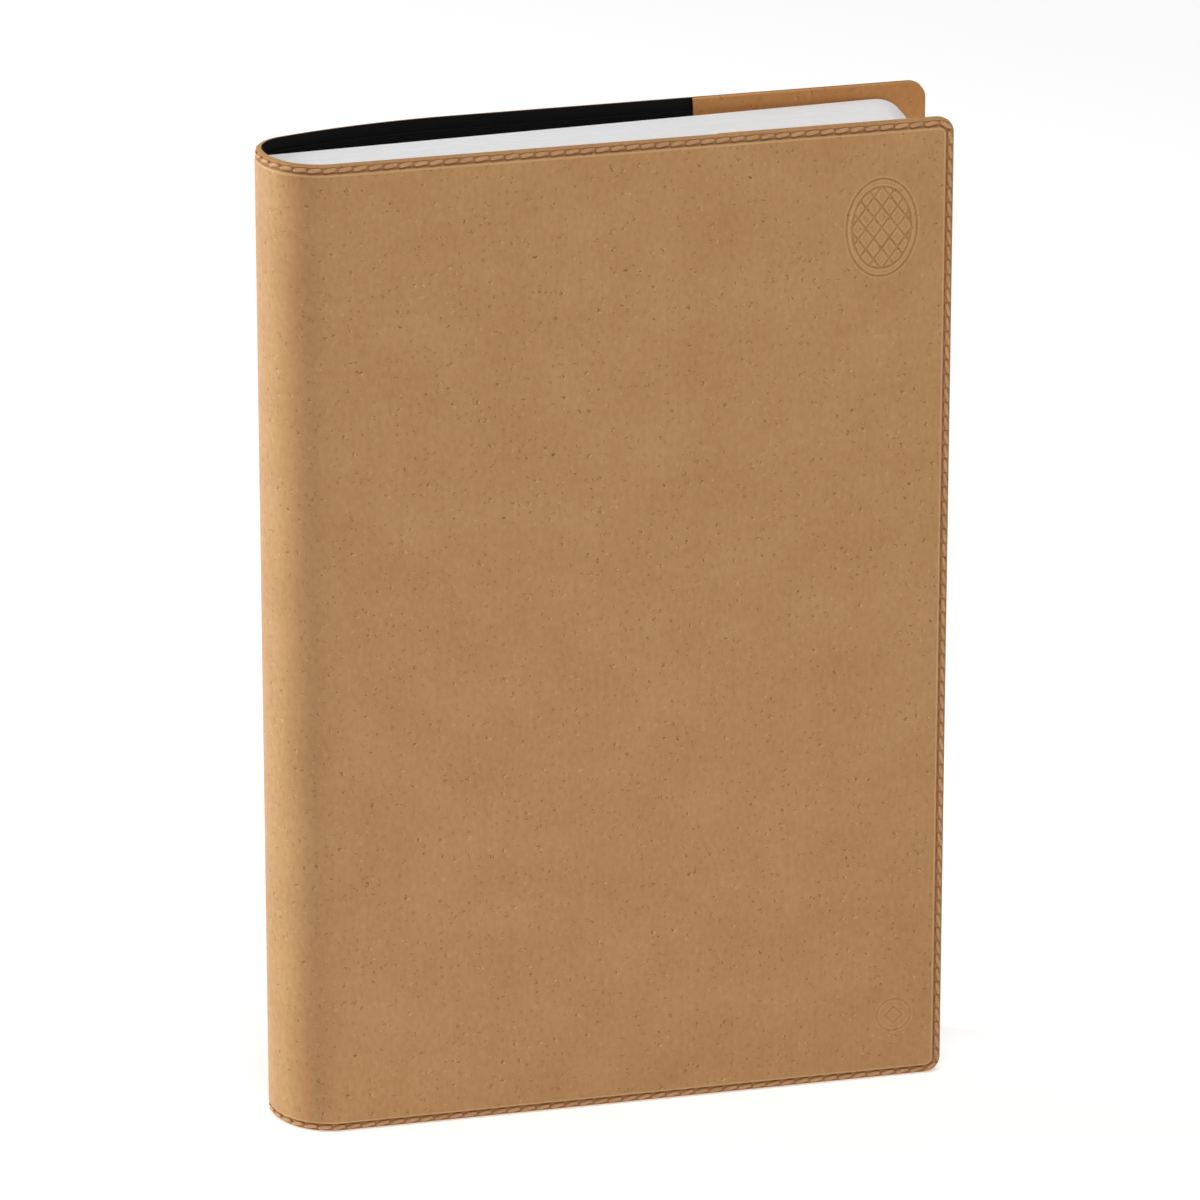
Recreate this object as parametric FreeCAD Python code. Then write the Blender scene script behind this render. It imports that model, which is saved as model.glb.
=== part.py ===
"""Leather notebook cover with its slide-in notebook, standing closed on its bottom edges.

The cover is one soft wrap: front cover, rounded spine and back cover, each built up from the
outside in as leather, interliner, black lining and, near the fore-edge, a sewn leather flap that
makes a pocket. The notebook has a thin black card wrap, whose ends slide into the two pockets, and
a block of sewn signatures that hinge open one after the other as the front cover turns.

The frame is +Z up with the origin at the centre of the footprint. Plan positions are worked out
with x from the outermost line of the spine towards the fore-edge and y from the outer face of the
front cover towards the back, then moved to the origin.
"""

import FreeCAD, Part
import math
import os

# Overall sizes of the closed cover, in millimetres
WIDTH = 165.0
HEIGHT = 248.0
THICKNESS = 30.0

# Plan outline of the wrap
FRONT_ROUND = 15.5
BACK_FLAT_FROM = 50.0
BACK_SLOPE_RADIUS = 170.0
CORNER_RADIUS = 4.0

# Layers, as depths below the outer face
BAND_DEPTH = 0.45
BEAD_DEPTH = 0.2
LEATHER_INNER = 1.2
TURNED_EDGE_INNER = 1.6
INTERLINER = (1.22, 1.58)
INTERLINER_PLAY = 0.1
LINING = (1.62, 1.85)
CARD = (1.9, 2.2)
FLAP = (2.25, 3.05)
FLAP_RIM = (1.87, 2.25)

# Seam round the edge: widths inward from the edge
BAND_WIDTH = 2.5
BEAD_WIDTH = 0.45
PANEL_CORNER = 1.5
THREAD_LINE = (0.65, 1.65)
THREAD = (0.15, 0.43)
LINING_INSET = 0.5
FLAP_WIDTH = 57.0
FLAP_INSET = 0.3

# Gap left where the wrap is parted at its two hinge lines, in degrees of the spine's round
HINGE_GAP = 0.6

# Notebook
BLOCK_RECESS = 3.2
BLOCK_FORE_EDGE = 5.0
BLOCK_CORNER = 8.0
SIGNATURES = 12
SIGNATURE_GAP = 0.05
BLOCK_FRONT = 3.4
BLOCK_BEHIND_SPINE_MIDDLE = 4.5
BLOCK_BACK_AT_FORE_EDGE = 26.6
BLOCK_SPINE = 4.1
BLOCK_ROUNDED_TO = 13.0
BLOCK_ROUNDING = 0.35

MARGIN = 1.0


def back_round():
    """Radius of the arc that leads from the middle of the spine into the back cover's slope."""
    x3 = BACK_FLAT_FROM
    drop = BACK_SLOPE_RADIUS - THICKNESS + FRONT_ROUND
    return (BACK_SLOPE_RADIUS**2 - x3**2 - drop**2) / (2 * (BACK_SLOPE_RADIUS - x3))


BACK_ROUND = back_round()
FRONT_CENTRE = (FRONT_ROUND, FRONT_ROUND)
BACK_CENTRE = (BACK_ROUND, FRONT_ROUND)
SLOPE_CENTRE = (BACK_FLAT_FROM, THICKNESS - BACK_SLOPE_RADIUS)
SLOPE_ANGLE = math.degrees(
    math.atan2(BACK_CENTRE[1] - SLOPE_CENTRE[1], BACK_CENTRE[0] - SLOPE_CENTRE[0])
)

# Each cover turns about the line that lets its outer face come to lie flush with the spine.
FRONT_PIVOT = FRONT_ROUND * (1 - math.pi / 4)
BACK_PIVOT = 4.35
FRONT_SPLIT = 225.0
BACK_SPLIT = math.degrees(
    math.atan2(THICKNESS - BACK_PIVOT - BACK_CENTRE[1], BACK_PIVOT - BACK_CENTRE[0])
)


def at(point, z=0.0):
    """Point of the plan, moved to the part's own frame."""
    return FreeCAD.Vector(point[0] - WIDTH / 2, point[1] - THICKNESS / 2, z)


def on_arc(centre, radius, degrees):
    angle = math.radians(degrees)
    return (centre[0] + radius * math.cos(angle), centre[1] + radius * math.sin(angle))


def arc_edge(centre, radius, start, end):
    """Arc of the plan between two directions from its centre."""
    angles = (start, (start + end) / 2, end)
    points = [at(on_arc(centre, radius, angle)) for angle in angles]
    return Part.Arc(*points).toShape()


def line_edge(start, end):
    return Part.LineSegment(at(start), at(end)).toShape()


def front_run(depth):
    """Front cover at one depth: straight from the fore-edge, then half of the spine's front round."""
    radius = FRONT_ROUND - depth
    start = (WIDTH, depth)
    end = on_arc(FRONT_CENTRE, radius, FRONT_SPLIT + HINGE_GAP)
    edges = [
        line_edge(start, (FRONT_ROUND, depth)),
        arc_edge(FRONT_CENTRE, radius, 270, FRONT_SPLIT + HINGE_GAP),
    ]
    return start, end, edges


def spine_run(depth):
    """Spine at one depth, from hinge line to hinge line."""
    front = FRONT_ROUND - depth
    back = BACK_ROUND - depth
    start = on_arc(FRONT_CENTRE, front, FRONT_SPLIT - HINGE_GAP)
    end = on_arc(BACK_CENTRE, back, BACK_SPLIT + HINGE_GAP)
    edges = [
        arc_edge(FRONT_CENTRE, front, FRONT_SPLIT - HINGE_GAP, 180),
        arc_edge(BACK_CENTRE, back, 180, BACK_SPLIT + HINGE_GAP),
    ]
    return start, end, edges


def back_run(depth):
    """Back cover at one depth: end of the spine's round, long slope, then flat to the fore-edge."""
    back = BACK_ROUND - depth
    slope = BACK_SLOPE_RADIUS - depth
    start = on_arc(BACK_CENTRE, back, BACK_SPLIT - HINGE_GAP)
    end = (WIDTH, THICKNESS - depth)
    edges = [
        arc_edge(BACK_CENTRE, back, BACK_SPLIT - HINGE_GAP, SLOPE_ANGLE),
        arc_edge(SLOPE_CENTRE, slope, SLOPE_ANGLE, 90),
        line_edge((BACK_FLAT_FROM, THICKNESS - depth), end),
    ]
    return start, end, edges


def sheet(run, depths):
    """Full-height sheet of the wrap between two depths below the outer face."""
    outer_start, outer_end, outer = run(depths[0])
    inner_start, inner_end, inner = run(depths[1])
    ends = [line_edge(outer_start, inner_start), line_edge(outer_end, inner_end)]
    wire = Part.Wire(Part.__sortEdges__(outer + inner + ends))
    return Part.Face(wire).extrude(FreeCAD.Vector(0, 0, HEIGHT))


def outline(inset, corner, fore_edge=0.0):
    """Cutting block with rounded fore-edge corners, as seen square on to the covers."""
    right = WIDTH - max(inset, fore_edge)
    left = -MARGIN
    low, high = inset, HEIGHT - inset
    reach = corner * math.sqrt(0.5)
    y = -MARGIN

    def corner_arc(x, z, first, middle, last):
        centre = at((x, y), z)
        points = [centre + FreeCAD.Vector(dx, 0, dz) for dx, dz in (first, middle, last)]
        return Part.Arc(*points).toShape()

    def side(start, end):
        return Part.LineSegment(at((start[0], y), start[1]), at((end[0], y), end[1])).toShape()

    edges = [
        side((left, low), (right - corner, low)),
        corner_arc(right - corner, low + corner, (0, -corner), (reach, -reach), (corner, 0)),
        side((right, low + corner), (right, high - corner)),
        corner_arc(right - corner, high - corner, (corner, 0), (reach, reach), (0, corner)),
        side((right - corner, high), (left, high)),
        side((left, high), (left, low)),
    ]
    face = Part.Face(Part.Wire(edges))
    return face.extrude(FreeCAD.Vector(0, THICKNESS + 2 * MARGIN, 0))


def flap_zone():
    """Block that holds everything from the flap's free edge to beyond the fore-edge."""
    corner = at((WIDTH - FLAP_WIDTH, -MARGIN), -MARGIN)
    size = (FLAP_WIDTH + MARGIN, THICKNESS + 2 * MARGIN, HEIGHT + 2 * MARGIN)
    return Part.makeBox(*size, corner)


def leather(run):
    """Outer skin: raised panel, pressed seam channel, fine bead on the rim and a turned edge."""
    whole = outline(0, CORNER_RADIUS)
    panel = outline(BAND_WIDTH, PANEL_CORNER)
    bead = whole.cut(outline(BEAD_WIDTH, CORNER_RADIUS - BEAD_WIDTH))
    skin = sheet(run, (BAND_DEPTH, LEATHER_INNER)).common(whole)
    edge = sheet(run, (LEATHER_INNER, TURNED_EDGE_INNER)).common(whole.cut(panel))
    raised = sheet(run, (0, BAND_DEPTH)).common(panel)
    rim = sheet(run, (BEAD_DEPTH, BAND_DEPTH)).common(bead)
    return skin.multiFuse([edge, raised, rim]).removeSplitter()


def interliner(run):
    """Stiffener inside the panel, held all round by the turned edge."""
    return sheet(run, INTERLINER).common(outline(BAND_WIDTH + INTERLINER_PLAY, PANEL_CORNER))


def lining(run):
    """Black lining, sewn in just short of the edge."""
    return sheet(run, LINING).common(outline(LINING_INSET, CORNER_RADIUS - LINING_INSET))


def card(run):
    """Thin card wrap of the notebook, the height of its pages."""
    return sheet(run, CARD).common(outline(BLOCK_RECESS, BLOCK_CORNER, fore_edge=BLOCK_FORE_EDGE))


def flap(run):
    """Pocket flap: a flat piece of leather stood off by a rim, sewn down along three edges."""
    edge = outline(FLAP_INSET, CORNER_RADIUS - FLAP_INSET).common(flap_zone())
    rim = edge.cut(outline(BAND_WIDTH, PANEL_CORNER))
    face = sheet(run, FLAP).common(edge)
    return face.fuse(sheet(run, FLAP_RIM).common(rim)).removeSplitter()


def stitching(run):
    """Row of thread lying in the seam channel."""
    outer = outline(THREAD_LINE[0], CORNER_RADIUS - THREAD_LINE[0])
    inner = outline(THREAD_LINE[1], CORNER_RADIUS - THREAD_LINE[1])
    return sheet(run, THREAD).common(outer.cut(inner))


def block_line(index):
    """Spine point and fore-edge point of the face between two signatures."""
    share = index / SIGNATURES
    y_spine = BLOCK_FRONT + share * (FRONT_ROUND + BLOCK_BEHIND_SPINE_MIDDLE - BLOCK_FRONT)
    y_fore = BLOCK_FRONT + share * (BLOCK_BACK_AT_FORE_EDGE - BLOCK_FRONT)
    rounding = max(BLOCK_ROUNDED_TO - y_spine, 0.0)
    x_spine = BLOCK_SPINE + BLOCK_ROUNDING * rounding**1.5
    return (x_spine, y_spine), (WIDTH - BLOCK_FORE_EDGE, y_fore)


def signature(number):
    """One sewn group of leaves, a little thicker at the fore-edge than at the fold."""
    front_spine, front_fore = block_line(number - 1)
    back_spine, back_fore = block_line(number)
    back_spine = (back_spine[0], back_spine[1] - SIGNATURE_GAP)
    back_fore = (back_fore[0], back_fore[1] - SIGNATURE_GAP)
    corners = [front_spine, front_fore, back_fore, back_spine, front_spine]
    face = Part.Face(Part.makePolygon([at(point) for point in corners]))
    prism = face.extrude(FreeCAD.Vector(0, 0, HEIGHT))
    return prism.common(outline(BLOCK_RECESS, BLOCK_CORNER, fore_edge=BLOCK_FORE_EDGE))


def build_nodes():
    runs = {"front": front_run, "back": back_run, "spine": spine_run}
    nodes = {}
    for name, run in runs.items():
        cover = name if name == "spine" else name + "_cover"
        nodes[cover + "_leather"] = leather(run)
        nodes[name + "_interliner"] = interliner(run)
        nodes[name + "_lining"] = lining(run)
        nodes[name + "_stitching"] = stitching(run)
        nodes["notebook_" + name + "_card"] = card(run)
    nodes["front_flap"] = flap(front_run)
    nodes["back_flap"] = flap(back_run)
    for number in range(1, SIGNATURES + 1):
        nodes["signature_%02d" % number] = signature(number)
    return nodes


def main():
    os.makedirs("parts", exist_ok=True)
    for name, shape in build_nodes().items():
        shape.exportStep("parts/%s.step" % name)
        box = shape.BoundBox
        sizes = (len(shape.Solids), shape.Volume, box.XLength, box.YLength, box.ZLength)
        print("%-22s solids %d  volume %9.1f  box %.2f x %.2f x %.2f" % ((name,) + sizes))
    print("front hinge at", at((FRONT_PIVOT, FRONT_PIVOT)))
    print("back hinge at", at((BACK_PIVOT, THICKNESS - BACK_PIVOT)))
    for number in range(1, SIGNATURES // 2 + 1):
        print("signature %02d turns at" % number, at(block_line(number)[0]))


main()
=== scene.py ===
import math
import bmesh
import bpy
import numpy as np
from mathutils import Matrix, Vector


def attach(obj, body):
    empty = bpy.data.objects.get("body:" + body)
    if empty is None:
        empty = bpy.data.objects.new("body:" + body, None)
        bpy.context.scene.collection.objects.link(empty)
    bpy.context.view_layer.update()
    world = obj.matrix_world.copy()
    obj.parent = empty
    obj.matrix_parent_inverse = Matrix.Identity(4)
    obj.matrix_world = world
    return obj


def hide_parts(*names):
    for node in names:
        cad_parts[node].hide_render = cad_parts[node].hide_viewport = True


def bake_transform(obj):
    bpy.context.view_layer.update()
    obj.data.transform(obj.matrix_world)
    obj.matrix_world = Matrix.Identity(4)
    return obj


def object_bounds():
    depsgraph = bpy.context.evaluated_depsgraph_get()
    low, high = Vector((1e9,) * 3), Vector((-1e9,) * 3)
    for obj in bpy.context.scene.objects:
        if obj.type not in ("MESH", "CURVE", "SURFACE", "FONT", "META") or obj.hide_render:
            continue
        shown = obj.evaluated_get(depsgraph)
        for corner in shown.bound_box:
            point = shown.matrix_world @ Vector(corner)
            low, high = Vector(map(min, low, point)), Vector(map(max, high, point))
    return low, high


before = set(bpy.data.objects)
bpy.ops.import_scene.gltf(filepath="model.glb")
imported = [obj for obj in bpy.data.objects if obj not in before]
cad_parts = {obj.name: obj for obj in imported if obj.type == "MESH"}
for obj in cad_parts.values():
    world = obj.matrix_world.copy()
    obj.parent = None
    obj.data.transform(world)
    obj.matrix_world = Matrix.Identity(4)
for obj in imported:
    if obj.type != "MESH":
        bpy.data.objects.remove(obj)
cad_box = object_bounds()

# ---- Leather cover -----------------------------------------------------------------------------
# One skin of tan bonded leather goes round front cover, spine and back cover. It is cut flat, its
# edges are turned in and sewn, and a channel for the stitches is pressed all round a raised panel.
# The skin is cut flat here too, pressed and tooled, then folded round the spine.

mm = 0.001
left, front, bottom = cad_box[0]
width, thickness, height = cad_box[1] - cad_box[0]

front_round = 15.5 * mm
slope_round = 170 * mm
back_flat_from = 50 * mm
drop = slope_round - thickness + front_round
back_round = (slope_round**2 - back_flat_from**2 - drop**2) / (2 * (slope_round - back_flat_from))
slope_angle = math.atan2(drop, back_round - back_flat_from)

front_strip = front_round * math.pi / 2
back_strip = back_round * (math.pi - slope_angle)
slope_strip = slope_round * (slope_angle - math.pi / 2)
front_length = front_strip + width - front_round
back_length = back_strip + slope_strip + width - back_flat_from

edge_corner = 4.0 * mm
turned_edge_inner = 1.6 * mm
turned_edge_width = 2.9 * mm
turned_edge_rise = 0.4 * mm
outer_face = 0.001 * mm
# In mm, from the edge inwards: distance in from the edge, and depth below the raised panel
seam_profile = [
    (0.00, 1.50), (0.07, 1.18), (0.15, 0.86), (0.25, 0.58), (0.36, 0.44),
    (0.46, 0.46), (0.56, 0.58), (0.64, 0.64), (1.80, 0.64), (1.96, 0.58),
    (2.10, 0.44), (2.24, 0.24), (2.38, 0.10), (2.54, 0.03), (2.80, 0.00),
]


def wrap(flat):
    """Folds flat points round the spine. Flat x runs along the skin from the middle of the spine,
    below zero on the front cover, y is the depth below the outer face and z is the height."""
    along, depth, up = np.asarray(flat, float).T
    turn = np.clip(-along / front_round, 0, math.pi / 2)
    front_x = front_round - (front_round - depth) * np.cos(turn)
    front_x = front_x + np.maximum(-along - front_strip, 0)
    front_y = front_round - (front_round - depth) * np.sin(turn)
    turn = np.clip(along / back_round, 0, math.pi - slope_angle)
    round_x = back_round - (back_round - depth) * np.cos(turn)
    round_y = front_round + (back_round - depth) * np.sin(turn)
    angle = slope_angle - np.clip((along - back_strip) / slope_round, 0, slope_angle - math.pi / 2)
    slope_x = back_flat_from + (slope_round - depth) * np.cos(angle)
    slope_x = slope_x + np.maximum(along - back_strip - slope_strip, 0)
    slope_y = thickness - slope_round + (slope_round - depth) * np.sin(angle)
    x = np.select([along < 0, along < back_strip], [front_x, round_x], slope_x)
    y = np.select([along < 0, along < back_strip], [front_y, round_y], slope_y)
    return np.stack([left + x, front + y, bottom + up], axis=-1)


def clear_selection():
    if bpy.context.object and bpy.context.object.mode != "OBJECT":
        bpy.ops.object.mode_set(mode="OBJECT")
    bpy.ops.object.select_all(action="DESELECT")


def block(name, low, high):
    """Plain block between two corners, the start of a piece."""
    clear_selection()
    low, high = np.array(low), np.array(high)
    bpy.ops.mesh.primitive_cube_add(size=1, location=(low + high) / 2, scale=high - low)
    bpy.context.object.name = name
    bpy.ops.object.transform_apply(location=True, rotation=True, scale=True)
    return bpy.context.object


def pick(piece, parts, test):
    """Goes into edit mode and selects the faces or edges of a piece that pass a test."""
    if piece.mode != "EDIT":
        bpy.context.view_layer.objects.active = piece
        bpy.ops.object.mode_set(mode="EDIT")
    bpy.ops.mesh.select_mode(type="FACE" if parts == "faces" else "EDGE")
    bpy.ops.mesh.select_all(action="DESELECT")
    shape = bmesh.from_edit_mesh(piece.data)
    for part in getattr(shape, parts):
        part.select_set(test(part))
    bmesh.update_edit_mesh(piece.data)


def across(axis, test=lambda middle: True):
    """Test for edges that run along one axis and whose middle passes a further test."""
    def passes(edge):
        a, b = (vertex.co for vertex in edge.verts)
        return abs((b - a).normalized()[axis]) > 0.99 and test((a + b) / 2)
    return passes


def score(piece, axis, places):
    """Cuts the mesh across one axis at each place, so that it can bend or be tooled there."""
    normal = [0, 0, 0]
    normal[axis] = 1
    for place in places:
        pick(piece, "faces", lambda face: True)
        bpy.ops.mesh.bisect(plane_co=[place * n for n in normal], plane_no=normal)


def keep_side(piece, side, at=0.0):
    """Cuts a flat piece across its length and keeps the front or the back cover's part."""
    pick(piece, "faces", lambda face: True)
    bpy.ops.mesh.bisect(
        plane_co=(at, 0, 0), plane_no=(1, 0, 0), use_fill=True,
        clear_outer=side == "front", clear_inner=side == "back",
    )


def bend_lines(coarse=False):
    """Places along the skin where it has to bend."""
    step = 2 if coarse else 1
    count = 36 // step
    strips = [np.linspace(-front_strip, 0, count), np.linspace(0, back_strip, count // 2)]
    strips.append(np.linspace(back_strip, back_strip + slope_strip, 12))
    return [float(place) for place in np.unique(np.round(np.concatenate(strips), 7)) if place != 0]


def flat_piece(name, depths, edge, fore_edge=0.0, corner=edge_corner):
    """Flat sheet for the whole wrap, with its four corners rounded."""
    fore_edge = max(edge, fore_edge)
    low = (fore_edge - front_length, depths[0], edge)
    piece = block(name, low, (back_length - fore_edge, depths[1], height - edge))
    pick(piece, "edges", across(1))
    bpy.ops.mesh.bevel(offset=corner, segments=10, affect="EDGES")
    return piece


def finish_folded(piece, smooth_angle=50):
    """Keeps the flat pattern as the piece's own coordinates, then folds it round the spine."""
    flat = read_flat(piece)
    mesh = piece.data
    corners = np.empty(len(mesh.loops), dtype=np.int32)
    mesh.loops.foreach_get("vertex_index", corners)
    pattern = mesh.uv_layers.get("pattern") or mesh.uv_layers.new(name="pattern")
    pattern_origin = np.array([front_length, 0])
    pattern.uv.foreach_set("vector", (flat[corners][:, [0, 2]] + pattern_origin).ravel())
    mesh.vertices.foreach_set("co", wrap(flat).ravel())
    mesh.update()
    turn_outwards(piece)
    smooth(piece, smooth_angle)
    return piece


def turn_outwards(piece):
    pick(piece, "faces", lambda face: True)
    bpy.ops.mesh.normals_make_consistent(inside=False)
    clear_selection()


def smooth(piece, angle):
    clear_selection()
    piece.select_set(True)
    bpy.context.view_layer.objects.active = piece
    bpy.ops.object.shade_smooth_by_angle(angle=math.radians(angle))
    piece.select_set(False)


# Blind tooling on the front cover: an oval ornament near the top of the fore-edge and a small ring
# below, pressed as fine lines.
ornament_centre = np.array([-front_length + 17.7 * mm, height - 26.0 * mm])
ornament_half = np.array([8.6, 12.2]) * mm
oval_sides = 40
inner_oval = 0.84
lattice_slope = 1.35
lattice_spacing = 5.2 * mm
ring_centre = np.array([-front_length + 12.3 * mm, 16.8 * mm])
ring_radius = 4.2 * mm
lozenge_share = 0.52
tooled_margin = 0.8 * mm
line_half_width = 0.34 * mm
ornament_depth = 0.28 * mm
ring_depth = 0.17 * mm


def polygon_sides(corners):
    corners = np.array(corners, float)
    return list(zip(corners, np.roll(corners, -1, axis=0)))


def oval(share):
    angles = np.arange(oval_sides) * math.tau / oval_sides
    return np.stack([np.cos(angles), np.sin(angles)], axis=-1) * ornament_half * share


def lattice(slope):
    """Parallel slanting lines, cut off at the inner oval."""
    w, h = ornament_half * inner_oval
    lines = []
    for step in np.arange(-5, 6) * lattice_spacing:
        # Where x = t, y = step + slope * t meets the oval
        a, b, c = 1 / w**2 + (slope / h) ** 2, 2 * step * slope / h**2, (step / h) ** 2 - 1
        inside = b * b - 4 * a * c
        if inside > 0:
            ends = (-b + np.array([-1, 1]) * math.sqrt(inside)) / (2 * a)
            lines.append(tuple(np.array([t, step + slope * t]) for t in ends))
    return lines


def ornament_lines():
    """Lines of the ornament, from its centre: an oval frame round a slanting lattice."""
    frame_lines = polygon_sides(oval(1)) + polygon_sides(oval(inner_oval))
    return frame_lines + lattice(-lattice_slope) + lattice(lattice_slope)


def distance_to_lines(points, lines):
    nearest = np.full(len(points), 1.0)
    for start, end in lines:
        run = end - start
        share = np.clip((points - start) @ run / (run @ run), 0, 1)
        nearest = np.minimum(nearest, np.linalg.norm(points - start - share[:, None] * run, axis=1))
    return nearest


def groove(distance, depth):
    share = np.clip(1 - distance / line_half_width, 0, 1)
    return depth * share * share * (3 - 2 * share)


def read_flat(piece):
    clear_selection()
    flat = np.empty(len(piece.data.vertices) * 3)
    piece.data.vertices.foreach_get("co", flat)
    return flat.reshape(-1, 3)


def keep_value(piece, name, values):
    """Stores one number for each vertex, for the piece's material to read."""
    values = np.asarray(values, dtype=np.float32)
    piece.data.attributes.new(name, "FLOAT", "POINT").data.foreach_set("value", values)


def tool(piece):
    """Presses the ornament and the ring into the panel of the front cover. The value kept as tooled
    is 1 in the middle of an ornament line and -1 beside it, and less on the faint ring; from it the
    cover's material paints shade along the lines and a highlight beside them."""
    flat = read_flat(piece)
    panel = flat[:, 1] < outer_face
    from_ornament = flat[:, [0, 2]] - ornament_centre
    from_ring = flat[:, [0, 2]] - ring_centre
    half = ring_radius * lozenge_share
    lozenge = polygon_sides([(-half, 0), (0, -half), (half, 0), (0, half)])
    to_ornament = distance_to_lines(from_ornament, ornament_lines())
    to_circle = np.abs(np.linalg.norm(from_ring, axis=1) - ring_radius)
    to_ring = np.minimum(to_circle, distance_to_lines(from_ring, lozenge))
    pressed = groove(to_ornament, ornament_depth) + groove(to_ring, ring_depth)
    flat[:, 1] += np.where(panel, pressed, 0)
    piece.data.vertices.foreach_set("co", flat.ravel())
    distance = np.minimum(to_ornament, to_ring)
    middle = np.clip(1 - distance / line_half_width, 0, 1)
    shoulder_highlight = np.clip(1 - np.abs(distance - 1.5 * line_half_width) / (0.5 * line_half_width), 0, 1)
    strength = np.where(to_ring < to_ornament, ring_depth / ornament_depth, 1)
    keep_value(piece, "tooled", np.where(panel, strength * (middle - shoulder_highlight), 0))


def distance_from_edge(flat):
    """Distance inwards from the outline of the flat skin, with its rounded corners."""
    half = np.array([front_length + back_length, height]) / 2
    centre = np.array([(back_length - front_length) / 2, height / 2])
    beyond = np.abs(flat[:, [0, 2]] - centre) - half + edge_corner
    outside = np.linalg.norm(np.maximum(beyond, 0), axis=1)
    return edge_corner - outside - np.minimum(beyond.max(axis=1), 0)


def fine_patch(piece, centre, half, fineness):
    """Divides a rectangle of the panel finely enough to be tooled."""
    score(piece, 0, (centre[0] - half[0], centre[0] + half[0]))
    score(piece, 2, (centre[1] - half[1], centre[1] + half[1]))

    def inside(face):
        middle = face.calc_center_median()
        away = np.abs(np.array([middle.x, middle.z]) - centre)
        return face.normal.y < -0.99 and middle.y < outer_face and (away < half).all()

    pick(piece, "faces", inside)
    bpy.ops.mesh.subdivide(number_cuts=fineness)
    bpy.ops.mesh.subdivide(number_cuts=1)


def leather_cover(side):
    piece = flat_piece(side + "_leather", (seam_profile[0][1] * mm, turned_edge_inner), edge=0)
    pick(piece, "faces", lambda face: face.normal.y < -0.9)
    for (start, start_depth), (end, end_depth) in zip(seam_profile, seam_profile[1:]):
        bpy.ops.mesh.inset(thickness=(end - start) * mm, depth=(start_depth - end_depth) * mm)
    pick(piece, "faces", lambda face: face.normal.y > 0.9)
    bpy.ops.mesh.inset(thickness=turned_edge_width, depth=-turned_edge_rise)
    score(piece, 0, bend_lines())
    keep_side(piece, side)
    if side == "front":
        fine_patch(piece, ornament_centre, ornament_half + tooled_margin, 60)
        fine_patch(piece, ring_centre, np.full(2, ring_radius + tooled_margin), 30)
        tool(piece)
    keep_value(piece, "from_edge", distance_from_edge(read_flat(piece)))
    return finish_folded(piece)


hinge_strips = {"front": (-front_strip, -4.5 * mm), "back": (back_strip + 1 * mm, 3.5 * mm)}


def bend_with_cover(piece, side, strips=hinge_strips):
    """Bakes a folded piece's placement into its mesh. The strip between its cover and the middle of
    the spine is given by its two ends along the flat piece, the cover's end first; their folded
    places are worked out and not used further."""
    moving, still = wrap([(along, 0, 0) for along in strips[side]])
    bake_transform(piece)


def add(tree, kind, links=None, **settings):
    """Adds a shader node. Each entry of links sets an input or joins it to another node."""
    node = tree.nodes.new("ShaderNode" + kind)
    for name, value in settings.items():
        setattr(node, name, value)
    for name, value in (links or {}).items():
        if isinstance(value, bpy.types.NodeSocket):
            tree.links.new(value, node.inputs[name])
        else:
            node.inputs[name].default_value = value
    return node


def calc(tree, operation, *values, clamp=False):
    links = dict(enumerate(values))
    return add(tree, "Math", links, operation=operation, use_clamp=clamp).outputs[0]


def ramp(tree, value, low, high, interpolation="LINEAR"):
    """0 where the value is at low, 1 where it is at high."""
    limits = {"Value": value, "From Min": low, "From Max": high}
    return add(tree, "MapRange", limits, clamp=True, interpolation_type=interpolation).outputs[0]


def band(tree, value, middle, half_width):
    """1 where the value is at the middle, fading to 0 at half the band's width away."""
    away = calc(tree, "ABSOLUTE", calc(tree, "SUBTRACT", value, middle))
    return ramp(tree, away, half_width, 0.0, "SMOOTHSTEP")


def srgb(red, green, blue):
    """Colour as a dyer's chart gives it, 0 to 255, made linear for the shader."""
    def linear(level):
        share = level / 255
        return share / 12.92 if share <= 0.04045 else ((share + 0.055) / 1.055) ** 2.4
    return (linear(red), linear(green), linear(blue), 1.0)


def mix(tree, share, first, second, blend="MIX"):
    node = add(tree, "Mix", data_type="RGBA", blend_type=blend, clamp_factor=True)
    sockets = (node.inputs[0], node.inputs[6], node.inputs[7])
    for socket, value in zip(sockets, (share, first, second)):
        if isinstance(value, bpy.types.NodeSocket):
            tree.links.new(value, socket)
        else:
            socket.default_value = value
    return node.outputs[2]


def new_material(name, **constants):
    material = bpy.data.materials.new(name)
    material.use_nodes = True
    shader = material.node_tree.nodes["Principled BSDF"]
    for socket, value in constants.items():
        shader.inputs[socket.replace("_", " ")].default_value = value
    return material, material.node_tree, shader


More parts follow.
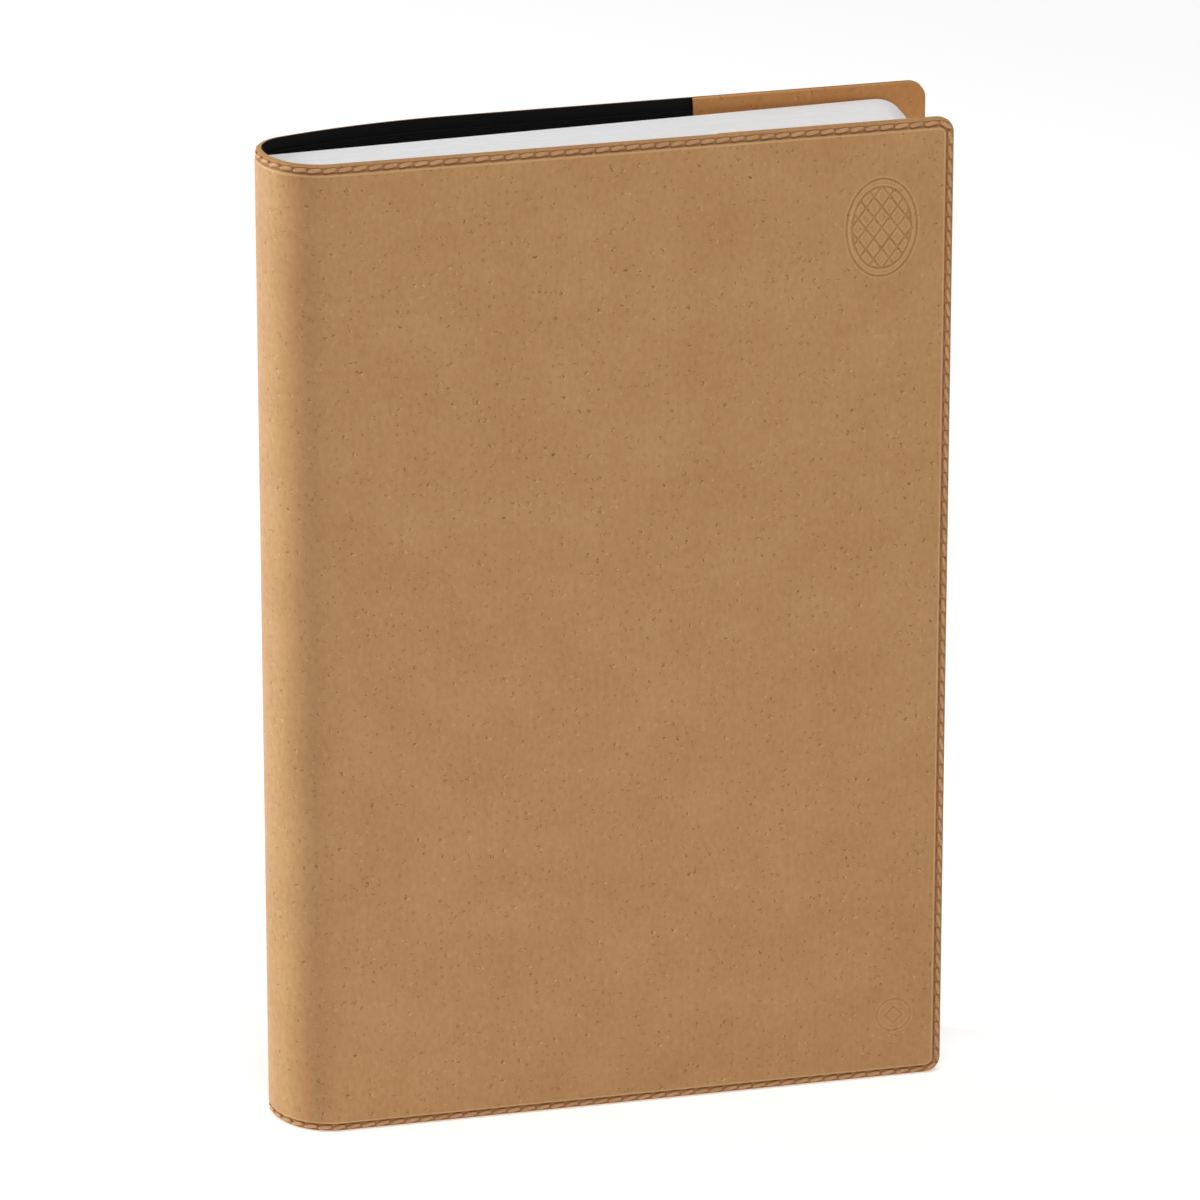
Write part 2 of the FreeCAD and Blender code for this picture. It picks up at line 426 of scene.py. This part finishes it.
def build_fibre_group():
    """Bonded leather: clouded tone, upright fibres, dark bark flecks, pale specks and a fine grain.
    Place is in metres on the flat pattern."""
    group = bpy.data.node_groups.new("Bonded leather fibre", "ShaderNodeTree")
    group.interface.new_socket("Place", in_out="INPUT", socket_type="NodeSocketVector")
    for name in ("Tone", "Flecks", "Specks", "Height"):
        group.interface.new_socket(name, in_out="OUTPUT", socket_type="NodeSocketFloat")
    place = group.nodes.new("NodeGroupInput").outputs["Place"]
    result = group.nodes.new("NodeGroupOutput")

    def stretched(across_scale, up_scale):
        scale = (across_scale, up_scale, 1)
        return add(group, "Mapping", {"Vector": place, "Scale": scale}).outputs[0]

    def noise(vector, scale, detail=2.0):
        links = {"Vector": vector, "Scale": scale, "Detail": detail}
        return add(group, "TexNoise", links, noise_dimensions="2D").outputs[0]

    clouds = noise(place, 60, 4)
    fibres = noise(stretched(1, 0.55), 800, 4)
    long_fibres = noise(stretched(1, 0.20), 300, 3)
    grain = noise(place, 2600, 3)
    tone = calc(group, "MULTIPLY_ADD", clouds, 0.30, calc(group, "MULTIPLY", fibres, 0.40))
    tone = calc(group, "MULTIPLY_ADD", grain, 0.18, tone)
    tone = calc(group, "MULTIPLY_ADD", long_fibres, 0.12, tone)

    def vector_math(operation, links):
        return add(group, "VectorMath", links, operation=operation).outputs[0]

    wander = add(group, "TexNoise", {"Vector": place, "Scale": 1500.0}, noise_dimensions="2D")
    crooked = vector_math("SUBTRACT", {0: wander.outputs[1], 1: (0.5, 0.5, 0.5)})
    moved = vector_math("ADD", {0: place, 1: vector_math("SCALE", {0: crooked, 3: 2.0 * mm})})

    def marks(offset, scale, size, share):
        """Small upright marks, one in a share of the cells."""
        upright = (1.0, 0.6, 1.0)
        spot = add(group, "Mapping", {"Vector": moved, "Location": offset, "Scale": upright})
        links = {"Vector": spot.outputs[0], "Scale": scale}
        cells = add(group, "TexVoronoi", links, voronoi_dimensions="2D")
        near = ramp(group, cells.outputs["Distance"], size, size * 0.3)
        chance = add(group, "SeparateColor", {"Color": cells.outputs["Color"]}).outputs
        chosen = calc(group, "LESS_THAN", chance[0], share)
        return calc(group, "MULTIPLY", calc(group, "MULTIPLY", near, chosen), chance[1])

    large_flecks = marks((0, 0, 0), 330, 0.105, 0.60)
    small_flecks = marks((3, 5, 0), 720, 0.16, 0.55)
    large_specks = marks((0.0005, 0.0002, 0), 330, 0.09, 0.60)
    small_specks = marks((7, 2, 0), 700, 0.13, 0.45)
    flecks = calc(group, "MAXIMUM", large_flecks, small_flecks)
    specks = calc(group, "MAXIMUM", large_specks, small_specks)
    height_sum = calc(group, "MULTIPLY_ADD", fibres, 0.5, calc(group, "MULTIPLY", grain, 0.25))
    height_sum = calc(group, "MULTIPLY_ADD", flecks, -0.5, height_sum)
    height_sum = calc(group, "MULTIPLY_ADD", specks, 0.4, height_sum)
    results = {"Tone": tone, "Flecks": flecks, "Specks": specks, "Height": height_sum}
    for name, value in results.items():
        group.links.new(value, result.inputs[name])
    return group


fibre_group = build_fibre_group()


def leather_material(name, dark, light, fleck_and_shade, speck_and_highlight):
    material, tree, shader = new_material(
        name, Sheen_Weight=0.04, Sheen_Roughness=0.5, Specular_IOR_Level=0.16
    )
    place = add(tree, "UVMap", uv_map="pattern").outputs[0]
    fibre = add(tree, "Group", {}, node_tree=fibre_group)
    tree.links.new(place, fibre.inputs["Place"])
    colour = mix(tree, ramp(tree, fibre.outputs["Tone"], 0.34, 0.66), dark, light)
    colour = mix(tree, calc(tree, "MULTIPLY", fibre.outputs["Flecks"], 0.85), colour, fleck_and_shade)
    colour = mix(tree, calc(tree, "MULTIPLY", fibre.outputs["Specks"], 0.60), colour, speck_and_highlight)
    # Painted highlight along the panel's edge, partly rubbed wear, and painted shade beside the
    # stitches; on the tooling, painted shade in the lines and a painted highlight beside them
    from_edge = add(tree, "Attribute", attribute_name="from_edge").outputs["Fac"]
    tooled = add(tree, "Attribute", attribute_name="tooled").outputs["Fac"]
    painted_highlight_and_rub = calc(tree, "MULTIPLY", band(tree, from_edge, 2.48 * mm, 0.36 * mm), 0.55)
    shaded = calc(tree, "MULTIPLY", band(tree, from_edge, 1.86 * mm, 0.36 * mm), 0.50)
    shoulder_highlight = calc(tree, "MULTIPLY", ramp(tree, tooled, 0.0, -1.0), 0.50)
    painted_line_shade = calc(tree, "MULTIPLY", ramp(tree, tooled, 0.0, 1.0), 0.10)
    painted_highlight_and_rub = calc(tree, "MAXIMUM", painted_highlight_and_rub, shoulder_highlight)
    shaded = calc(tree, "MAXIMUM", shaded, painted_line_shade)
    colour = mix(tree, painted_highlight_and_rub, colour, speck_and_highlight)
    colour = mix(tree, shaded, colour, fleck_and_shade)
    # Painted highlight over the spine, most on its round, and painted shade in the crease beside
    # the panel
    along = add(tree, "SeparateXYZ", {"Vector": place}).outputs["X"]
    from_middle = calc(tree, "ABSOLUTE", calc(tree, "SUBTRACT", along, front_length))
    round_middle = 8.5 * mm
    on_spine = ramp(tree, from_middle, 14.0 * mm, round_middle, "SMOOTHSTEP")
    on_spine = calc(tree, "MULTIPLY", on_spine, 0.45)
    painted_spine_highlight = calc(tree, "MAXIMUM", band(tree, from_middle, round_middle, 6.5 * mm), on_spine)
    painted_crease_shade = band(tree, from_middle, 17.8 * mm, 5.0 * mm)
    colour = mix(tree, painted_spine_highlight, colour, (1.03, 1.13, 1.12, 1.0), "MULTIPLY")
    colour = mix(tree, painted_crease_shade, colour, (0.90, 0.91, 0.92, 1.0), "MULTIPLY")
    tree.links.new(colour, shader.inputs["Base Color"])
    tree.links.new(ramp(tree, fibre.outputs["Tone"], 1.6, -0.8), shader.inputs["Roughness"])
    links = {"Height": fibre.outputs["Height"], "Strength": 0.30, "Distance": 0.15 * mm}
    bump = add(tree, "Bump", links)
    tree.links.new(bump.outputs[0], shader.inputs["Normal"])
    return material


cover_leather = leather_material(
    "Tan bonded leather",
    dark=srgb(178, 131, 84), light=srgb(192, 146, 98),
    fleck_and_shade=srgb(112, 75, 42), speck_and_highlight=srgb(222, 180, 130),
)

for side in ("front", "back"):
    cover = leather_cover(side)
    cover.data.materials.append(cover_leather)
    bend_with_cover(cover, side)
    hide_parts(side + "_cover_leather", *(["spine_leather"] if side == "front" else []))


# ---- Interliner --------------------------------------------------------------------------------
# A thin fibre board inside the cover, in front, back and spine parts, that stiffens the raised
# panel. It is glued to the leather and held all round by the turned edge.

interliner_depths = (1.22 * mm, 1.58 * mm)
interliner_edge = 3.0 * mm

board, tree, shader = new_material("Fibre board", Roughness=0.9)
place = add(tree, "TexCoord").outputs["Object"]
speckle = add(tree, "TexNoise", {"Vector": place, "Scale": 900.0, "Detail": 4.0}).outputs[0]
colour = mix(tree, speckle, srgb(132, 116, 96), srgb(160, 142, 118))
tree.links.new(colour, shader.inputs["Base Color"])

for side in ("front", "back"):
    piece = flat_piece(side + "_stiffener", interliner_depths, interliner_edge, corner=1.5 * mm)
    score(piece, 0, bend_lines(coarse=True))
    keep_side(piece, side)
    finish_folded(piece)
    piece.data.materials.append(board)
    bend_with_cover(piece, side)
    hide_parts(side + "_interliner", *(["spine_interliner"] if side == "front" else []))


# ---- Black lining ------------------------------------------------------------------------------
# Smooth black bonded leather lines the inside and ends under the pocket flaps. It is sewn in with
# the turned edge, flush with the back cover's rim and just short of the front cover's.

lining_depths = (1.62 * mm, 1.85 * mm)
lining_edges = {"front": 0.5 * mm, "back": 0.02 * mm}

lining_black, tree, shader = new_material("Black lining", Specular_IOR_Level=0.25)
place = add(tree, "UVMap", uv_map="pattern").outputs[0]
links = {"Vector": place, "Scale": 1400.0}
pores = add(tree, "TexVoronoi", links, voronoi_dimensions="2D").outputs[0]
clouds = add(tree, "TexNoise", {"Vector": place, "Scale": 60.0}, noise_dimensions="2D").outputs[0]
tree.links.new(mix(tree, clouds, srgb(10, 10, 10), srgb(15, 15, 15)), shader.inputs["Base Color"])
tree.links.new(ramp(tree, clouds, -1.2, 1.2), shader.inputs["Roughness"])
bump = add(tree, "Bump", {"Height": pores, "Strength": 0.2, "Distance": 0.1 * mm})
tree.links.new(bump.outputs[0], shader.inputs["Normal"])

lining_end = 50 * mm

for side, edge in lining_edges.items():
    piece = flat_piece(side + "_black_lining", lining_depths, edge, lining_end, edge_corner - edge)
    score(piece, 0, bend_lines())
    keep_side(piece, side)
    finish_folded(piece)
    piece.data.materials.append(lining_black)
    bend_with_cover(piece, side)
    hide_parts(side + "_lining", *(["spine_lining"] if side == "front" else []))


# ---- Pocket flaps ------------------------------------------------------------------------------
# A flat piece of the same leather inside each cover, sewn down along top, fore-edge and bottom.
# Its fourth edge is free, and the notebook's card slides in under it.

flap_width = 57 * mm
flap_depths = (1.60 * mm, 3.05 * mm)
flap_rim = 2.9 * mm
pocket_depth = 0.65 * mm
flap_edges = {"front": 0.3 * mm, "back": 0.02 * mm}

flap_leather = leather_material(
    "Tan flap leather",
    dark=srgb(190, 131, 76), light=srgb(203, 145, 89),
    fleck_and_shade=srgb(140, 92, 50), speck_and_highlight=srgb(218, 168, 116),
)


def soften_edges(piece, width, segments=2):
    """Rounds off every sharp edge of a flat piece."""
    clear_selection()
    bpy.context.view_layer.objects.active = piece
    bevel = piece.modifiers.new("soft edges", "BEVEL")
    bevel.width = width
    bevel.segments = segments
    bevel.limit_method = "ANGLE"
    bevel.angle_limit = math.radians(50)
    bpy.ops.object.modifier_apply(modifier=bevel.name)


for side, edge in flap_edges.items():
    piece = flat_piece(side + "_pocket_flap", flap_depths, edge, corner=edge_corner - edge)
    pick(piece, "faces", lambda face: face.normal.y < -0.9)
    bpy.ops.mesh.inset(thickness=flap_rim, depth=-pocket_depth)
    free_edge = flap_width - front_length if side == "front" else back_length - flap_width
    keep_side(piece, side, at=free_edge)
    soften_edges(piece, 0.16 * mm)
    finish_folded(piece, smooth_angle=35)
    piece.data.materials.append(flap_leather)
    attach(piece, side + "_cover")
    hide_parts(side + "_flap")


# ---- Stitching ---------------------------------------------------------------------------------
# Waxed two-ply thread lies in the channel as a row of plump, slightly slanted stitches. Each one
# dips into its needle hole at both ends.

stitch_pitch = 3.62 * mm
stitch_length = 3.55 * mm
stitch_radius = 0.50 * mm
stitch_slant = math.radians(-9)
stitch_sides = 10
stitch_rings = 12
seam_line = 1.14 * mm
seam_depth = 0.52 * mm
stitch_dip = 0.18 * mm
stitch_flatness = 0.92
ply_depth = 0.16

clear_selection()
bpy.ops.mesh.primitive_cylinder_add(
    vertices=stitch_sides, radius=stitch_radius, depth=stitch_length, rotation=(0, math.pi / 2, 0)
)
stitch = bpy.context.object
bpy.ops.object.transform_apply(location=True, rotation=True, scale=True)
ring_places = np.linspace(-0.5, 0.5, stitch_rings + 1)[1:-1] * stitch_length
score(stitch, 0, [float(place) for place in ring_places])
clear_selection()
stitch_points = np.array([vertex.co for vertex in stitch.data.vertices])
stitch_faces = [tuple(face.vertices) for face in stitch.data.polygons]
bpy.data.objects.remove(stitch)

# The ply's twist turns an oval section along the stitch; the ends taper and dip.
share = stitch_points[:, 0] / (stitch_length / 2)
taper = np.sqrt(np.clip(1 - 0.72 * np.abs(share) ** 8, 0, 1))
around = np.arctan2(stitch_points[:, 2], stitch_points[:, 1])
ply = 1 - ply_depth * np.cos(2 * around + share * math.pi * 1.1)
radius = stitch_radius * taper * ply
stitch_points[:, 1] = np.cos(around) * radius + seam_depth + stitch_dip * np.abs(share) ** 6
stitch_points[:, 2] = np.sin(around) * radius * stitch_flatness
# dip weights the painted shade at both ends of each stitch
dip = np.abs(share) ** 10


def seam_path(inset, corner):
    """Points and directions at even pitch along the seam line of the flat cover, all round."""
    x0, x1 = inset - front_length, back_length - inset
    z0, z1 = inset, height - inset
    radius = corner - inset
    turns = [
        (x1 - radius, z0 + radius, -90), (x1 - radius, z1 - radius, 0),
        (x0 + radius, z1 - radius, 90), (x0 + radius, z0 + radius, 180),
    ]
    corners = []
    for x, z, start in turns:
        angles = np.radians(start + np.linspace(0, 90, 9))
        arc = np.stack([np.cos(angles), np.sin(angles)], axis=-1)
        corners.append(np.array([x, z]) + radius * arc)
    line = np.concatenate(corners + [corners[0][:1]])
    reach = np.concatenate([[0], np.cumsum(np.linalg.norm(np.diff(line, axis=0), axis=1))])
    count = round(reach[-1] / stitch_pitch)
    places = (np.arange(count) + 0.5) * reach[-1] / count
    ahead = places + 0.5 * mm
    centres = np.stack([np.interp(places, reach, line[:, axis]) for axis in (0, 1)], axis=-1)
    beyond = np.stack([np.interp(ahead, reach, line[:, axis]) for axis in (0, 1)], axis=-1)
    return centres, np.arctan2(*(beyond - centres).T[::-1])


thread, tree, shader = new_material("Waxed tan thread", Specular_IOR_Level=0.4)
place = add(tree, "TexCoord").outputs["Object"]
hairs = add(tree, "TexNoise", {"Vector": place, "Scale": 2400.0, "Detail": 3.0}).outputs[0]
patches = add(tree, "TexNoise", {"Vector": place, "Scale": 160.0}).outputs[0]
colour = mix(tree, ramp(tree, patches, 0.35, 0.65), srgb(186, 138, 94), srgb(198, 150, 104))
colour = mix(tree, ramp(tree, hairs, 0.55, 0.8), colour, srgb(220, 176, 132))
# Painted shade on the ends of each stitch, where it goes into its hole
painted_hole_shade = add(tree, "Attribute", attribute_name="dip").outputs["Fac"]
colour = mix(tree, calc(tree, "MULTIPLY", painted_hole_shade, 0.55), colour, srgb(132, 90, 58))
tree.links.new(colour, shader.inputs["Base Color"])
tree.links.new(ramp(tree, hairs, -0.7, 1.3), shader.inputs["Roughness"])
bump = add(tree, "Bump", {"Height": hairs, "Strength": 0.4, "Distance": 0.1 * mm})
tree.links.new(bump.outputs[0], shader.inputs["Normal"])

centres, headings = seam_path(seam_line, edge_corner)
lean = np.random.default_rng(7).normal(0, math.radians(1.5), len(centres))
for side in ("front", "back"):
    points, faces, dips = [], [], []
    for centre, heading, tilt in zip(centres, headings, lean):
        if (centre[0] < 0) != (side == "front"):
            continue
        turn = heading + stitch_slant + tilt
        along, aside = stitch_points[:, 0], stitch_points[:, 2]
        flat_x = centre[0] + along * math.cos(turn) - aside * math.sin(turn)
        flat_z = centre[1] + along * math.sin(turn) + aside * math.cos(turn)
        first = len(points) * len(stitch_points)
        faces += [tuple(first + index for index in face) for face in stitch_faces]
        points.append(np.stack([flat_x, stitch_points[:, 1], flat_z], axis=-1))
        dips.append(dip)
    mesh = bpy.data.meshes.new(side + "_stitches")
    mesh.from_pydata(wrap(np.concatenate(points)), [], faces)
    row = bpy.data.objects.new(side + "_stitches", mesh)
    keep_value(row, "dip", np.concatenate(dips))
    bpy.context.collection.objects.link(row)
    turn_outwards(row)
    smooth(row, 60)
    row.data.materials.append(thread)
    bend_with_cover(row, side)
    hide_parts(side + "_stitching", *(["spine_stitching"] if side == "front" else []))


# ---- Notebook's card wrap ----------------------------------------------------------------------
# The notebook has a wrap of thin black card, glued to the pages' spine. Its ends slide in under the
# pocket flaps.

card_depths = (1.90 * mm, 2.20 * mm)
card_fold = -front_strip / 2
card_fold_half = 0.8 * mm
card_strips = {
    "front": (card_fold - card_fold_half, card_fold + card_fold_half),
    "back": hinge_strips["back"],
}
block_recess = 3.2 * mm
block_fore_edge = 5.0 * mm
block_corner = 8.0 * mm

card_black, tree, shader = new_material("Black card", Specular_IOR_Level=0.3)
place = add(tree, "UVMap", uv_map="pattern").outputs[0]
links = {"Vector": place, "Scale": 1200.0, "Detail": 3.0}
flock = add(tree, "TexNoise", links, noise_dimensions="2D").outputs[0]
tree.links.new(mix(tree, flock, srgb(9, 9, 9), srgb(15, 15, 15)), shader.inputs["Base Color"])
tree.links.new(ramp(tree, flock, -1.5, 1.2), shader.inputs["Roughness"])

for side in ("front", "back"):
    name = side + "_notebook_card"
    piece = flat_piece(name, card_depths, block_recess, block_fore_edge, block_corner)
    score(piece, 0, bend_lines())
    keep_side(piece, side)
    finish_folded(piece)
    piece.data.materials.append(card_black)
    bend_with_cover(piece, side, card_strips)
    spine_node = ["notebook_spine_card"] if side == "front" else []
    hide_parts("notebook_" + side + "_card", *spine_node)


# ---- Pages -------------------------------------------------------------------------------------
# Twelve signatures of folded white leaves with rounded corners are sewn one behind the other. They
# are a little looser at the fore-edge than at the fold, so the block widens away from the spine.

signature_count = 12
leaves_each = 9
leaf_fill = 0.98
block_front = 3.4 * mm
block_back_at_spine = 20.0 * mm
block_back_at_fore_edge = 26.6 * mm
block_spine = 4.1 * mm
block_rounded_to = 13.0
block_rounding = 0.35
leaf_cut_from_fold = 3.6 * mm
leaf_unevenness = (-0.12, 0.05)
leaf_rise = 0.02

paper, tree, shader = new_material("White paper", Specular_IOR_Level=0.2, Roughness=0.85)
place = add(tree, "TexCoord").outputs["Object"]
lengthways = add(tree, "Mapping", {"Vector": place, "Scale": (0.05, 1.0, 0.4)}).outputs[0]
layers = add(tree, "TexNoise", {"Vector": lengthways, "Scale": 5200.0, "Detail": 2.0}).outputs[0]
pulp = add(tree, "TexNoise", {"Vector": place, "Scale": 120.0, "Detail": 3.0}).outputs[0]
colour = mix(tree, ramp(tree, layers, 0.3, 0.7), srgb(240, 240, 240), srgb(246, 246, 246))
colour = mix(tree, ramp(tree, pulp, 0.4, 0.8), colour, srgb(244, 244, 244))
tree.links.new(colour, shader.inputs["Base Color"])
bump = add(tree, "Bump", {"Height": layers, "Strength": 0.10, "Distance": 0.06 * mm})
tree.links.new(bump.outputs[0], shader.inputs["Normal"])


def page_face(share):
    """Spine point and fore-edge point, in plan, of the face at a share of the block's thickness."""
    y_spine = block_front + share * (block_back_at_spine - block_front)
    y_fore = block_front + share * (block_back_at_fore_edge - block_front)
    rounding = max(block_rounded_to - y_spine / mm, 0)
    x_spine = block_spine + block_rounding * rounding**1.5 * mm
    return np.array([x_spine, y_spine]), np.array([width - block_fore_edge, y_fore])


def rounded_leaf():
    """Points and faces of one flat leaf, 1 mm thick, with x from the fold and z the height."""
    high = (width - block_fore_edge, 1 * mm, height - block_recess)
    piece = block("leaf", (0, 0, block_recess), high)
    pick(piece, "edges", across(1, lambda middle: middle.x > block_corner))
    bpy.ops.mesh.bevel(offset=block_corner, segments=8, affect="EDGES")
    score(piece, 0, [leaf_cut_from_fold])
    clear_selection()
    points = np.array([vertex.co for vertex in piece.data.vertices])
    faces = [tuple(face.vertices) for face in piece.data.polygons]
    bpy.data.objects.remove(piece)
    return points, faces


leaf_points, leaf_faces = rounded_leaf()
leaf_share = np.clip(leaf_points[:, 0] / (width - block_fore_edge), 0, 1)
leaf_side = leaf_points[:, 1] / mm
uneven = np.random.default_rng(11)
for number in range(1, signature_count + 1):
    points, faces = [], []
    for leaf in range(leaves_each):
        low_share = (number - 1 + leaf / leaves_each) / signature_count
        high_share = low_share + leaf_fill / leaves_each / signature_count
        low_spine, low_fore = page_face(low_share)
        high_spine, high_fore = page_face(high_share)
        spine_at = low_spine + leaf_side[:, None] * (high_spine - low_spine)
        fore_at = low_fore + leaf_side[:, None] * (high_fore - low_fore)
        fore_at[:, 0] += uneven.uniform(*leaf_unevenness) * mm
        plan = spine_at + leaf_share[:, None] * (fore_at - spine_at)
        up = leaf_points[:, 2] + uneven.uniform(-leaf_rise, leaf_rise) * mm
        first = len(points) * len(leaf_points)
        faces += [tuple(first + index for index in face) for face in leaf_faces]
        points.append(np.stack([left + plan[:, 0], front + plan[:, 1], bottom + up], axis=-1))
    mesh = bpy.data.meshes.new("pages_%02d" % number)
    mesh.from_pydata(np.concatenate(points), [], faces)
    pages = bpy.data.objects.new("pages_%02d" % number, mesh)
    bpy.context.collection.objects.link(pages)
    turn_outwards(pages)
    smooth(pages, 40)
    pages.data.materials.append(paper)
    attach(pages, "section_%02d" % number if number <= signature_count // 2 else "binding")
    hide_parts("signature_%02d" % number)


# ---- Floor, light and camera -------------------------------------------------------------------
# The cover stands on a plain white sweep. A tall soft box on the spine's side, a wide one in front
# and one overhead light it.

clear_selection()
bpy.ops.mesh.primitive_plane_add(size=12, location=(0, 0, bottom))
floor = bpy.context.object
floor.name = "floor"
floor_white, tree, shader = new_material("White sweep", Roughness=1.0, Specular_IOR_Level=0.0)
shader.inputs["Base Color"].default_value = (0.90, 0.90, 0.90, 1)
shader.inputs["Emission Color"].default_value = (1, 1, 1, 1)
shader.inputs["Emission Strength"].default_value = 0.44
floor.data.materials.append(floor_white)

world = bpy.data.worlds.new("Studio")
world.use_nodes = True
world.node_tree.nodes["Background"].inputs["Color"].default_value = (1, 1, 1, 1)
world.node_tree.nodes["Background"].inputs["Strength"].default_value = 0.18
bpy.context.scene.world = world


def outwards(around, up):
    """Direction from the cover, turned round it from the front and raised."""
    level = math.cos(up)
    return np.array([math.sin(around) * level, -math.cos(around) * level, math.sin(up)])


def soft_box(name, azimuth, elevation, distance, size, power):
    """Rectangular light that faces the middle of the cover."""
    clear_selection()
    bpy.ops.object.light_add(type="AREA")
    light = bpy.context.object
    light.name = name
    light.data.shape = "RECTANGLE"
    light.data.size, light.data.size_y = size
    light.data.energy = power
    around, up = math.radians(azimuth), math.radians(elevation)
    light.location = np.array([0, 0, height / 2]) + outwards(around, up) * distance
    light.rotation_euler = (math.pi / 2 - up, 0, around)


soft_box("Spine side soft box", azimuth=-113, elevation=8, distance=1.4, size=(0.5, 1.4), power=24)
soft_box("Front soft box", azimuth=24, elevation=12, distance=1.9, size=(1.4, 1.4), power=2.4)
soft_box("Top soft box", azimuth=10, elevation=72, distance=1.8, size=(1.0, 1.0), power=17)

camera_azimuth = math.radians(-13.2)
camera_elevation = math.radians(22.3)
camera_distance = 2.2
camera_aim = np.array([0.0, 0.0, 127.0 * mm])
bpy.ops.object.camera_add()
camera = bpy.context.object
camera.data.lens = 275
camera.data.clip_start = 0.05
camera.data.clip_end = 50
camera.location = camera_aim + outwards(camera_azimuth, camera_elevation) * camera_distance
camera.rotation_euler = (math.pi / 2 - camera_elevation, 0, camera_azimuth)
bpy.context.scene.camera = camera
bpy.context.scene.view_settings.view_transform = "Standard"
